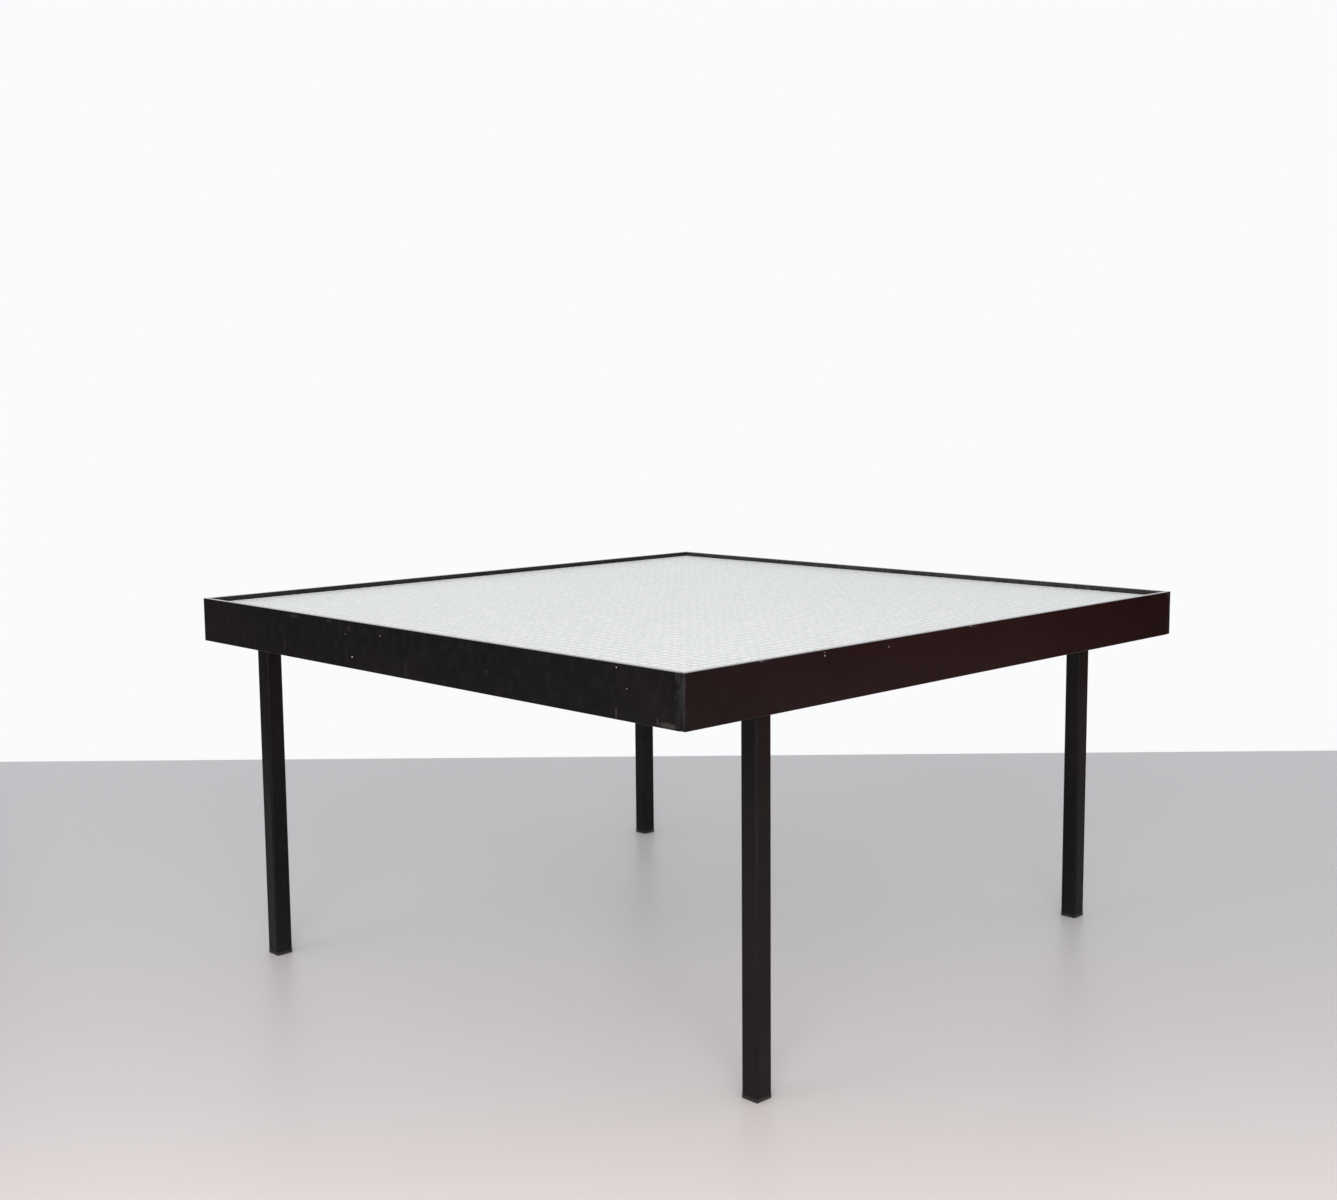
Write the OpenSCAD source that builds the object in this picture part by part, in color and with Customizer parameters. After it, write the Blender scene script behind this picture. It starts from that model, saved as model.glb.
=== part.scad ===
// Low square table: a black frame of flat bar on four slim legs, with a loose pane of wired glass.
// The four sides are alike and turn round the middle: each has its bar, rest, tape and one leg.
// The origin is on the floor under the middle of the table. The front side lies along -Y.

/* [Table] */
// Outside length of each side
table_side = 800; // [600:10:1000]
// Height from the floor to the top of the rails
table_h = 408; // [300:1:500]

/* [Rails] */
// Height of the flat bar, which stands on edge
rail_h = 50; // [46:1:80]
// Thickness of the flat bar
rail_t = 6; // [4:0.5:10]
// Rounding of the long edges of the bar
rail_edge_r = 0.8; // [0.3:0.1:1.5]
// Rounding of the ground outer corner
corner_r = 2; // [1:0.1:3]

/* [Glass] */
// Thickness of the pane
glass_t = 6; // [4:0.5:8]
// Depth of the pane's top face below the top of the rails
glass_drop = 5; // [3:0.1:9]
// Gap between the pane's edge and the rails
glass_gap = 1.5; // [1:0.1:4]
// Ground arris round the pane's edges
arris = 0.8; // [0.4:0.1:1.5]
// Spacing of the wires cast into the glass
mesh_pitch = 12.7; // [10:0.1:25]
// Thickness of the wires
wire_w = 0.5; // [0.4:0.1:0.8]

/* [Glass rest] */
// Thickness of the angle's two flanges
angle_t = 4; // [4:0.5:6]
// Rounding in the angle's root
root_r = 1.5; // [0.5:0.1:2.5]
// Rounding of the angle's two toes
toe_r = 1.5; // [0.5:0.1:2.5]
// Gap between the mitred ends of two angles
mitre_gap = 0.3; // [0.1:0.1:1]
// Thickness of the glazing tape
tape_t = 1.5; // [1:0.1:3]
// Bare margin of the flange on each side of the tape
tape_margin = 3; // [1:0.5:6]
// Gap where one tape meets the next
tape_gap = 0.5; // [0.2:0.1:2]

/* [Legs] */
// Width of the square tube
leg_w = 20; // [16:1:24]
// Wall of the tube
leg_wall = 1.5; // [1:0.1:2]
// Outside corner radius of the tube
leg_r = 2.5; // [2.2:0.1:3]
// Distance from the table's corner to the near face of the leg
leg_offset = 100; // [60:1:200]
// Gap between the leg and the upright flange of the angle
leg_gap = 0.5; // [0.3:0.1:2]
// Thickness of the plate on top of the leg
plate_t = 4; // [3:0.5:6]

/* [Feet] */
// Height of the glide's head below the tube
glide_h = 4; // [2:0.5:8]
// Lip of the glide's head round the tube
glide_lip = 0.3; // [0:0.1:1]
// Length of the glide's stem inside the tube
stem_h = 18; // [12:1:30]
// Wall of the hollow stem
stem_wall = 2; // [1.5:0.1:3]
// Depth of the fins round the stem
fin_depth = 1.2; // [0.8:0.1:2]
// Thickness of each fin
fin_t = 1.2; // [0.8:0.1:2]
// Number of fins along the stem
fin_count = 3; // [2:1:4]
// Gap between the fins and the tube
glide_fit = 0.1; // [0.1:0.1:0.3]

/* [Fasteners] */
// Diameter of the countersunk screws
screw_d = 6; // [4:1:8]
// Distance from the side of the leg to a screw
screw_offset = 14; // [12:0.5:25]
// Distance from a screw to the end of the plate
screw_edge = 11; // [8:0.5:20]
// Depth of the screw head below the flange's top face
head_sink = 0.2; // [0.1:0.1:0.6]
// Gap round a screw in its holes
hole_clear = 0.3; // [0.2:0.1:0.6]
// Gap between a screw and its nut or washer
thread_clear = 0.1; // [0.1:0.1:0.3]
// Thickness of the washers
washer_t = 1.6; // [1:0.1:2.5]
// Length of the screw that stands out of its nut
screw_tail = 2; // [0.5:0.5:5]

/* [Welds] */
// Size of the beads
bead = 3; // [2:0.5:3.5]
// Length of each stitch between an angle and its rail
stitch_l = 35; // [20:1:60]
// Stitches along each side
stitch_count = 4; // [2:1:6]

/* [Hidden] */
$fn = 48;

// A quarter turn takes one side to the next
quarter_turn = 90;
SIDES = ["front", "right", "back", "left"];
SIDE_PIECES = ["rail", "rest", "tape", "leg_plate", "leg", "foot_glide"];
GROUPS = ["glass_pane", "wire_mesh", "leg_screws", "leg_washers", "leg_nuts", "corner_welds",
          "rest_welds", "leg_welds"];

// Heights, from the top down
rail_low = table_h - rail_h;
glass_low = table_h - glass_drop - glass_t;
rest_top = glass_low - tape_t;
plate_top = rest_top - angle_t;
leg_top = plate_top - plate_t;
leg_l = leg_top - glide_h;

// Plan of one side, with its outer face at -half
half = table_side / 2;
rail_l = table_side - rail_t;
inner_half = half - rail_t;
pane_side = 2 * (inner_half - glass_gap);

// The angle is just wide enough for the leg to stand inside it
angle_w = angle_t + leg_w + 2 * leg_gap;
rest_low = rest_top - angle_w;
tape_w = angle_w - 2 * tape_margin;
tape_l = 2 * inner_half - 2 * tape_margin - tape_w - tape_gap;

// Middle of the leg in plan
leg_x = -half + leg_offset + leg_w / 2;
leg_y = -inner_half + angle_t + leg_gap + leg_w / 2;
leg_bore = leg_w - 2 * leg_wall;
least_r = 0.2;
leg_bore_r = max(leg_r - leg_wall, least_r);

// Plate and screws, with the usual proportions of a 90 degree countersunk screw, nut and washer
screw_x = leg_w / 2 + screw_offset;
plate_l = 2 * (screw_x + screw_edge);
head_per_d = 2;
flats_per_d = 5 / 3;
nut_per_d = 0.8;
slot_per_d = 0.25;
head_d = head_per_d * screw_d;
head_h = (head_d - screw_d) / 2;
washer_d = head_per_d * screw_d;
nut_flats = flats_per_d * screw_d;
nut_h = nut_per_d * screw_d;
slot_w = slot_per_d * screw_d;
washer_low = leg_top - washer_t;
nut_low = washer_low - nut_h;
screw_low = nut_low - screw_tail;
hole_r = screw_d / 2 + hole_clear;
csk_r = head_d / 2 + hole_clear;
nut_sides = 6;
nut_r = nut_flats / 2 / cos(2 * quarter_turn / nut_sides);

// Foot glide
glide_w = leg_w + 2 * glide_lip;
glide_r = leg_r + glide_lip;
glide_chamfer = glide_h / 4;
fin_w = leg_bore - 2 * glide_fit;
stem_w = fin_w - 2 * fin_depth;
fin_pitch = stem_h / fin_count;

// Wires, an even number of gaps about the middle of the pane, in two layers a hair apart
layer_gap = 0.05;
wire_gaps = 2 * floor((pane_side / 2 - mesh_pitch / 2) / mesh_pitch);
glass_mid = glass_low + glass_t / 2;

// Stitches, evenly along the side
stitch_pitch = 2 * inner_half / stitch_count;

// Small overshoot that carries cuts clear of the faces they leave
past = 1;

paint = [0.035, 0.034, 0.034];
bare_steel = [0.62, 0.62, 0.60];
dark_rubber = [0.10, 0.10, 0.10];
black_plastic = [0.03, 0.03, 0.03];
pale_glass = [0.82, 0.87, 0.84];

// Square with round corners, about the origin
module round_square(width, radius) {
    flat = width - 2 * radius;
    square([width, flat], center = true);
    square([flat, width], center = true);
    for (x = [-1, 1], y = [-1, 1])
        translate([x * flat / 2, y * flat / 2])
            circle(radius);
}

// Bar section with round edges, one corner at the origin
module round_bar(width, height, radius) {
    translate([radius, 0])
        square([width - 2 * radius, height]);
    translate([0, radius])
        square([width, height - 2 * radius]);
    for (x = [radius, width - radius], y = [radius, height - radius])
        translate([x, y])
            circle(radius);
}

// Slab section with all four corners cut at 45 degrees, standing on the origin
module cut_slab(width, height, cut) {
    side = width / 2;
    polygon([
        [-side + cut, 0], [side - cut, 0], [side, cut], [side, height - cut],
        [side - cut, height], [-side + cut, height], [-side, height - cut], [-side, cut]
    ]);
}

// Lays a section along X: its x becomes Y and its y becomes Z
module along_x(length) {
    rotate([quarter_turn, 0, quarter_turn])
        linear_extrude(length)
            children();
}

// Square block with every level edge cut, standing on the origin, within the outline of its child
module cut_block(width, height, cut) {
    intersection() {
        translate([-width / 2, 0, 0])
            along_x(width)
                cut_slab(width, height, cut);
        rotate(quarter_turn)
            translate([-width / 2, 0, 0])
                along_x(width)
                    cut_slab(width, height, cut);
        children();
    }
}

// Weld bead along +X in a right-angled corner that opens towards +Y and +Z
module weld_bead(length) {
    intersection() {
        rotate([0, quarter_turn, 0])
            cylinder(h = length, r = bead);
        cube([length, bead, bead]);
    }
}

// Weld bead of the same kind with round ends
module round_bead(length) {
    run = length - 2 * bead;
    translate([bead, 0, 0]) {
        weld_bead(run);
        for (x = [0, run])
            translate([x, 0, 0])
                intersection() {
                    sphere(bead);
                    translate([-bead, 0, 0])
                        cube([2 * bead, bead, bead]);
                }
    }
}

// Puts its children on every side in turn
module each_side() {
    for (k = [0 : len(SIDES) - 1])
        rotate(k * quarter_turn)
            children();
}

// Puts its children on the leg's two screw centres of the front side
module at_screws() {
    for (side = [-1, 1])
        translate([leg_x + side * screw_x, leg_y, 0])
            children();
}

// Flat bar on edge. One end runs through to the corner and is ground round, the other butts
// against the next rail's inner face.
module rail() {
    color(paint)
    intersection() {
        translate([-half, -half, rail_low])
            along_x(rail_l)
                round_bar(rail_t, rail_h, rail_edge_r);
        translate([-half, -half, rail_low])
            linear_extrude(rail_h)
                rail_plan();
        translate([-half, -inner_half, rail_low])
            rotate([quarter_turn, 0, 0])
                linear_extrude(rail_t)
                    rail_elevation();
    }
}

// Plan of the bar with its outer corner rounded
module rail_plan() {
    translate([corner_r, 0])
        square([rail_l - corner_r, rail_t]);
    translate([0, corner_r])
        square([corner_r, rail_t - corner_r]);
    translate([corner_r, corner_r])
        circle(corner_r);
}

// Elevation of the bar with the two corners of its through end rounded
module rail_elevation() {
    translate([corner_r, 0])
        square([rail_l - corner_r, rail_h]);
    translate([0, corner_r])
        square([corner_r, rail_h - 2 * corner_r]);
    for (y = [corner_r, rail_h - corner_r])
        translate([corner_r, y])
            circle(corner_r);
}

// Angle inside the rail, one flange level under the glass, mitred at both ends and drilled for the leg
module rest() {
    color(paint)
    difference() {
        intersection() {
            translate([-inner_half, -inner_half, rest_top])
                along_x(2 * inner_half)
                    angle_section();
            translate([0, 0, rest_low - past])
                linear_extrude(angle_w + 2 * past)
                    rest_plan();
        }
        at_screws()
            translate([0, 0, rest_top])
                countersunk_hole();
    }
}

// Section of the angle, its outer corner at the origin, flanges along +x and -y
module angle_section() {
    flange();
    mirror([1, 1])
        flange();
    difference() {
        translate([angle_t, -angle_t - root_r])
            square(root_r);
        translate([angle_t + root_r, -angle_t - root_r])
            circle(root_r);
    }
}

// Level flange along +x, with the lower edge of its toe rounded
module flange() {
    translate([0, -angle_t])
        square([angle_w - toe_r, angle_t]);
    translate([0, -angle_t + toe_r])
        square([angle_w, angle_t - toe_r]);
    translate([angle_w - toe_r, -angle_t + toe_r])
        circle(toe_r);
}

// Plan that cuts the angle's ends to 45 degrees
module rest_plan() {
    out = inner_half - mitre_gap / 2;
    polygon([
        [-out, -inner_half], [out, -inner_half],
        [out - angle_w, -inner_half + angle_w], [-out + angle_w, -inner_half + angle_w]
    ]);
}

// Clearance hole and 90 degree countersink below the origin
module countersunk_hole() {
    translate([0, 0, -angle_t - past])
        cylinder(h = angle_t + 2 * past, r = hole_r);
    translate([0, 0, hole_r - csk_r])
        cylinder(h = csk_r - hole_r + past, r1 = hole_r, r2 = csk_r + past);
}

// Strip of glazing tape on the angle's level flange, stopping short of the next one
module tape() {
    color(dark_rubber)
    translate([-inner_half + tape_margin, -inner_half + tape_margin, rest_top])
        cube([tape_l, tape_w, tape_t]);
}

// Plate welded across the top of the leg and screwed up against the angle
module leg_plate() {
    color(paint)
    difference() {
        translate([leg_x - plate_l / 2, leg_y - leg_w / 2, leg_top])
            along_x(plate_l)
                plate_section();
        at_screws()
            translate([0, 0, leg_top - past])
                cylinder(h = plate_t + 2 * past, r = hole_r);
    }
}

// Section of the plate, with the edge that meets the angle's root cut back
module plate_section() {
    polygon([[0, 0], [leg_w, 0], [leg_w, plate_t], [root_r, plate_t], [0, plate_t - root_r]]);
}

// Square tube
module leg() {
    color(paint)
    translate([leg_x, leg_y, glide_h])
        linear_extrude(leg_l)
            difference() {
                round_square(leg_w, leg_r);
                round_square(leg_bore, leg_bore_r);
            }
}

// Plastic insert: a head under the end of the tube and a hollow finned stem inside it
module foot_glide() {
    color(black_plastic)
    translate([leg_x, leg_y, 0]) {
        cut_block(glide_w, 2 * glide_h, glide_chamfer)
            linear_extrude(glide_h)
                round_square(glide_w, glide_r);
        difference() {
            translate([0, 0, glide_h]) {
                linear_extrude(stem_h)
                    round_square(stem_w, leg_bore_r);
                for (k = [1 : fin_count])
                    translate([0, 0, k * fin_pitch - fin_t])
                        linear_extrude(fin_t)
                            round_square(fin_w, leg_bore_r);
            }
            translate([0, 0, glide_h])
                linear_extrude(stem_h + past)
                    round_square(stem_w - 2 * stem_wall, leg_bore_r);
        }
    }
}

// Pane with ground edges, loose on the tape
module glass_pane() {
    color(pale_glass)
    translate([0, 0, glass_low])
        cut_block(pane_side, glass_t, arris)
            linear_extrude(glass_t)
                round_square(pane_side, 2 * arris);
}

// Square mesh cast into the glass, cut off flush with its edges
module wire_mesh() {
    color(bare_steel) {
        wires(glass_mid + layer_gap / 2);
        rotate(quarter_turn)
            wires(glass_mid - wire_w - layer_gap / 2);
    }
}

// One layer of wires along X
module wires(low) {
    for (k = [0 : wire_gaps])
        translate([-pane_side / 2, (k - wire_gaps / 2) * mesh_pitch - wire_w / 2, low])
            cube([pane_side, wire_w, wire_w]);
}

// Slotted countersunk screws, from above through the angle and the plate
module leg_screws() {
    color(bare_steel)
    each_side()
        at_screws()
            difference() {
                union() {
                    translate([0, 0, screw_low])
                        cylinder(h = rest_top - head_sink - screw_low, r = screw_d / 2);
                    translate([0, 0, rest_top - head_sink - head_h])
                        cylinder(h = head_h, r1 = screw_d / 2, r2 = head_d / 2);
                }
                translate([-head_d / 2 - past, -slot_w / 2, rest_top - head_sink - slot_w])
                    cube([head_d + 2 * past, slot_w, slot_w + past]);
            }
}

// Plain washers under the plates
module leg_washers() {
    color(bare_steel)
    each_side()
        at_screws()
            translate([0, 0, washer_low])
                difference() {
                    cylinder(h = washer_t, r = washer_d / 2);
                    translate([0, 0, -past])
                        cylinder(h = washer_t + 2 * past, r = screw_d / 2 + thread_clear);
                }
}

// Hexagon nuts under the washers
module leg_nuts() {
    color(bare_steel)
    each_side()
        at_screws()
            translate([0, 0, nut_low])
                difference() {
                    cylinder(h = nut_h, r = nut_r, $fn = nut_sides);
                    translate([0, 0, -past])
                        cylinder(h = nut_h + 2 * past, r = screw_d / 2 + thread_clear);
                }
}

// Upright beads in the inner corners of the frame, below the angles
module corner_welds() {
    color(paint)
    each_side()
        translate([-inner_half, -inner_half, rest_low])
            rotate([0, quarter_turn, 0])
                weld_bead(rest_low - rail_low - rail_edge_r);
}

// Stitches along the lower edge of each angle
module rest_welds() {
    color(paint)
    each_side()
        for (k = [0 : stitch_count - 1])
            translate([-inner_half + ((2 * k + 1) * stitch_pitch - stitch_l) / 2, -inner_half, rest_low])
                rotate([-quarter_turn, 0, 0])
                    round_bead(stitch_l);
}

// Beads between two sides of each leg and its plate
module leg_welds() {
    color(paint)
    each_side()
        for (side = [0, 1])
            translate([leg_x, leg_y, leg_top])
                rotate(side * 2 * quarter_turn)
                    translate([leg_w / 2, leg_r - leg_w / 2, 0])
                        rotate([2 * quarter_turn, 0, quarter_turn])
                            round_bead(leg_w - 2 * leg_r);
}

for (k = [0 : len(SIDES) - 1]) {
    rotate(k * quarter_turn) rail();
    rotate(k * quarter_turn) rest();
    rotate(k * quarter_turn) tape();
    rotate(k * quarter_turn) leg_plate();
    rotate(k * quarter_turn) leg();
    rotate(k * quarter_turn) foot_glide();
}
glass_pane();
wire_mesh();
leg_screws();
leg_washers();
leg_nuts();
corner_welds();
rest_welds();
leg_welds();
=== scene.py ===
"""Looks of a low square table: a black painted steel frame with a loose pane of wired cast glass."""

import math

import bmesh
import bpy
from mathutils import Matrix, Vector, noise


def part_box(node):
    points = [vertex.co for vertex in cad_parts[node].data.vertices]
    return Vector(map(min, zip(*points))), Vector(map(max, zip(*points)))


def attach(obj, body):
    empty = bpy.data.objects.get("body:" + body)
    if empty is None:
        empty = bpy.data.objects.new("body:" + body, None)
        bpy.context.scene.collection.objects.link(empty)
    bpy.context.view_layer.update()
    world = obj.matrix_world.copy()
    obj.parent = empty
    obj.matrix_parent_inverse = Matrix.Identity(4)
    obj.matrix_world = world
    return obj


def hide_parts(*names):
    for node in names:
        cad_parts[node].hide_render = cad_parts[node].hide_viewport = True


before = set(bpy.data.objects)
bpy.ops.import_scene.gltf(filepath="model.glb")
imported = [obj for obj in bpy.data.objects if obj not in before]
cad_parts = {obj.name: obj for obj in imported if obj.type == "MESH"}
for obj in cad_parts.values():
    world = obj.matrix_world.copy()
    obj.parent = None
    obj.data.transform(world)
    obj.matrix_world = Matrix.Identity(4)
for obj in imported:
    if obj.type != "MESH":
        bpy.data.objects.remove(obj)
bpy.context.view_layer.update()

MM = 0.001
QUARTER = math.pi / 2
SIDES = ("front", "right", "back", "left")

# Sizes of the frame and the pane, read from the CAD nodes of the front side
RAIL_LOW, RAIL_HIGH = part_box("rail_front")
REST_LOW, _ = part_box("rest_front")
LEG_LOW, LEG_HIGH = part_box("leg_front")
PANE_LOW, PANE_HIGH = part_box("glass_pane")
HALF = -RAIL_LOW.y
RAIL_LENGTH = RAIL_HIGH.x - RAIL_LOW.x
RAIL_THICKNESS = RAIL_HIGH.y - RAIL_LOW.y
INNER_HALF = HALF - RAIL_THICKNESS
LEG_MIDDLE = 0.5 * (LEG_LOW + LEG_HIGH)
LEG_WIDTH = LEG_HIGH.x - LEG_LOW.x
LEG_ROUNDING = 2.5 * MM

# Mesh cast into the pane: one layer of wires along X and one along Y below it
MESH_PITCH = 12.7 * MM
WIRE_RADIUS = 0.25 * MM
WIRE_COUNT = 61
MESH_LOW, MESH_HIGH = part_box("wire_mesh")


class Value:
    """An output in a node tree. Arithmetic on values adds Math nodes to the tree."""

    def __init__(self, finish, socket):
        self.finish = finish
        self.socket = socket

    def out(self, name):
        """Another output of the same node."""
        return Value(self.finish, self.socket.node.outputs[name])

    def math(self, operation, *terms):
        """A Math node fed with values or numbers."""
        return self.finish.node("Math", {"operation": operation}, dict(enumerate(terms)))

    def __add__(self, other):
        return self.math("ADD", self, other)

    __radd__ = __add__

    def __sub__(self, other):
        return self.math("SUBTRACT", self, other)

    def __rsub__(self, other):
        return self.math("SUBTRACT", other, self)

    def __mul__(self, other):
        return self.math("MULTIPLY", self, other)

    __rmul__ = __mul__

    def __truediv__(self, other):
        return self.math("DIVIDE", self, other)

    def __abs__(self):
        return self.math("ABSOLUTE", self)

    def past_whole(self):
        """What is left above the next lower whole number."""
        return self.math("FRACT", self)

    def least(self, other):
        return self.math("MINIMUM", self, other)

    def most(self, other):
        return self.math("MAXIMUM", self, other)


class Finish:
    """A procedural material in the making. Constants are set on the shader's own sockets."""

    def __init__(self, name, constants):
        self.material = bpy.data.materials.new(name)
        self.material.use_nodes = True
        self.tree = self.material.node_tree
        self.shader = self.tree.nodes["Principled BSDF"]
        self.paint_on(constants)
        self.place = self.node("TexCoord").out("Object")
        self.x = self.node("SeparateXYZ", inputs={"Vector": self.place})
        self.y = self.x.out("Y")
        self.z = self.x.out("Z")

    def node(self, kind, settings=None, inputs=None):
        """Adds a node, sets it up, then feeds its sockets with numbers, colours or values."""
        made = self.tree.nodes.new("ShaderNode" + kind)
        for name, setting in (settings or {}).items():
            setattr(made, name, setting)
        for key, source in (inputs or {}).items():
            self.feed(made.inputs[key], source)
        shown = [socket for socket in made.outputs if socket.enabled]
        return Value(self, shown[0])

    def feed(self, socket, source):
        """Links a value to a socket, or sets a number or colour on it."""
        if isinstance(source, Value):
            self.tree.links.new(source.socket, socket)
        else:
            socket.default_value = source

    def paint_on(self, sources):
        """Feeds the shader's own sockets."""
        for name, source in sources.items():
            self.feed(self.shader.inputs[name], source)

    def noise(self, scale, detail=2, stretch=None):
        """Smooth random value about 0.5, at that many features a metre."""
        vector = self.place
        if stretch:
            vector = self.node("Mapping", inputs={"Vector": self.place, "Scale": stretch})
        return self.node("TexNoise", inputs={"Vector": vector, "Scale": scale, "Detail": detail})

    def step(self, source, low, high):
        """Goes smoothly from 0 at low to 1 at high. Low may be the larger one."""
        settings = {"interpolation_type": "SMOOTHSTEP"}
        return self.node("MapRange", settings, {"Value": source, "From Min": low, "From Max": high})

    def blend(self, share, first, second):
        """Colour between first at share 0 and second at share 1."""
        return self.node("Mix", {"data_type": "RGBA"}, {0: share, 6: first, 7: second})

    def point(self, across, up):
        """Vector with two values as its first parts."""
        return self.node("CombineXYZ", inputs={"X": across, "Y": up})

    def distance(self, point, across, up):
        """Distance from a point to a fixed place."""
        return self.node("VectorMath", {"operation": "DISTANCE"}, {0: point, 1: (across, up, 0)})

    def to_wire(self, source):
        """Distance to the nearest wire of one layer."""
        return abs((source / MESH_PITCH).past_whole() - 0.5) * -MESH_PITCH + 0.5 * MESH_PITCH

    def bump(self, height, depth):
        """Normal of a fine relief that is depth deep where height is 1."""
        return self.node("Bump", inputs={"Height": height, "Distance": depth, "Strength": 1.0})


def middle_of(first, second, third):
    """The middle one of three values."""
    low = first.least(second)
    return low.most(first.most(second).least(third))


def inside(source, low, high):
    """Distance to the nearer of two limits."""
    return (source - low).least(high - source)


# Finishes: in all of them, a scale counts features a metre, and a relief is the depth of a bump

# Black paint: colours
PAINT_BLACK = (0.0016, 0.0015, 0.0016, 1)
PAINT_BROWN = (0.0036, 0.0027, 0.0026, 1)
PAINT_WORN = (0.016, 0.014, 0.014, 1)
PAINT_CHIP = (0.45, 0.43, 0.41, 1)
GROUND_STEEL = (0.014, 0.013, 0.015, 1)
SCUFF_GREY = (0.040, 0.036, 0.036, 1)
DUST_GREY = (0.012, 0.011, 0.011, 1)

# Black paint: scales, the reach of the wear from an edge, and how ragged the dust ends above the floor
PATCH_SCALE = 9
SMEAR_SCALE = 95
SMEAR_STRETCH = (1, 1, 0.75)
GRAIN_SCALE = 420
PEEL_SCALE = 240
RUB_SCALE = 55
FLAKE_SCALE = 130
RIDGE_SCALE = 160
WEAR_LEAST = 0.2 * MM
WEAR_MORE = 1.1 * MM
DUST_RAGGEDNESS = 20 * MM
PAINT_RELIEF = 0.06 * MM

# Black paint: refractive index on the frame and on the legs, usual strength of the smears, and height of
# the dust on the legs
PAINT_GLOSS = 1.30
LEG_GLOSS = 1.27
USUAL_SMEARS = 0.2
LEG_DUST_TOP = 60 * MM


def black_paint(name, edge_of=None, marks_of=None, dust_top=None, gloss=PAINT_GLOSS, smeared=USUAL_SMEARS):
    """Satin black paint with orange peel, rubbed edges, faint smears and a little dust.

    edge_of gives the distance to the nearest edge of the piece, and marks_of the chips, scuffs, ground
    places and hand-polished places of one piece as four masks. Dust lies below dust_top."""
    finish = Finish(name, {"IOR": gloss, "Coat Roughness": 0.12})
    patches = finish.noise(PATCH_SCALE, 3)
    smears = finish.noise(SMEAR_SCALE, 5, SMEAR_STRETCH)
    grain = finish.noise(GRAIN_SCALE)
    peel = finish.noise(PEEL_SCALE)
    colour = finish.blend(finish.step(patches, 0.35, 0.7), PAINT_BLACK, PAINT_BROWN)
    if edge_of:
        reach = WEAR_LEAST + WEAR_MORE * finish.step(finish.noise(RUB_SCALE, 4), 0.45, 0.75)
        wear = finish.step(edge_of(finish), reach, 0.4 * reach)
    else:
        wear = finish.step(finish.noise(FLAKE_SCALE, 3), 0.72, 0.80)
    colour = finish.blend(wear * 0.6, colour, PAINT_WORN)
    smear = finish.step(smears, 0.42, 0.72)
    colour = finish.blend(smear * smeared, colour, DUST_GREY)
    rough = 0.32 + 0.05 * patches + 0.03 * smear + 0.03 * grain
    height = 0.7 * peel + 0.3 * grain - 0.5 * wear
    if dust_top:
        low_down = finish.step(finish.z + DUST_RAGGEDNESS * smears, dust_top, 0)
        dust = low_down * finish.step(grain, 0.35, 0.65)
        colour = finish.blend(dust * 0.5, colour, DUST_GREY)
        rough = rough + 0.15 * dust
    if marks_of:
        pale, grey, ground, polished = marks_of(finish)
        colour = finish.blend(ground, colour, GROUND_STEEL)
        colour = finish.blend(grey, colour, SCUFF_GREY)
        colour = finish.blend(pale, colour, PAINT_CHIP)
        rough = rough + 0.12 * ground
        height = height - 1.5 * pale + 1.2 * ground * finish.noise(RIDGE_SCALE, 4)
        finish.paint_on({"Coat Weight": polished * (0.8 + 0.2 * patches)})
    finish.paint_on({
        "Base Color": colour,
        "Roughness": rough,
        "Normal": finish.bump(height, PAINT_RELIEF),
    })
    return finish.material


# Cast glass colours: painted highlight in the mesh gaps, own grey near the wires, painted shade over them
GLASS_PALE_HIGHLIGHT = (0.98, 0.995, 0.985, 1)
GLASS_GREY = (0.765, 0.82, 0.795, 1)
GLASS_WIRE_SHADE = (0.40, 0.42, 0.41, 1)

# Cast glass: scales of its unevenness
STIPPLE_SCALE = 300
RIPPLE_SCALE = 90
CLOUD_SCALE = 5
WANDER_SCALE_X = 24
WANDER_SCALE_Y = 27

# Cast glass: how far the figure wanders from the wires, how ripple and stipple break it up, the
# distances from a wire where the painted highlight begins and is full, how stipple breaks up the
# painted shade lines, the distances from a wire where a line begins and is full, and the refractive index
GLASS_WANDER = 14 * MM
RIPPLE_BREAK = 7 * MM
STIPPLE_BREAK = 18 * MM
HIGHLIGHT_BEGINS = -0.5 * MM
HIGHLIGHT_FULL = 4.7 * MM
LINE_BREAK = 1.2 * MM
LINE_OUTSIDE = 1.0 * MM
LINE_INSIDE = 0.3 * MM
GLASS_INDEX = 1.52

# The two faces of the pane: share of light that passes unscattered, roughness and relief
TOP_GLASS = {"clear": 0.22, "rough": 0.36, "relief": 0.05 * MM}
LOW_GLASS = {"clear": 0.72, "rough": 0.45, "relief": 0.12 * MM}


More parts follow.
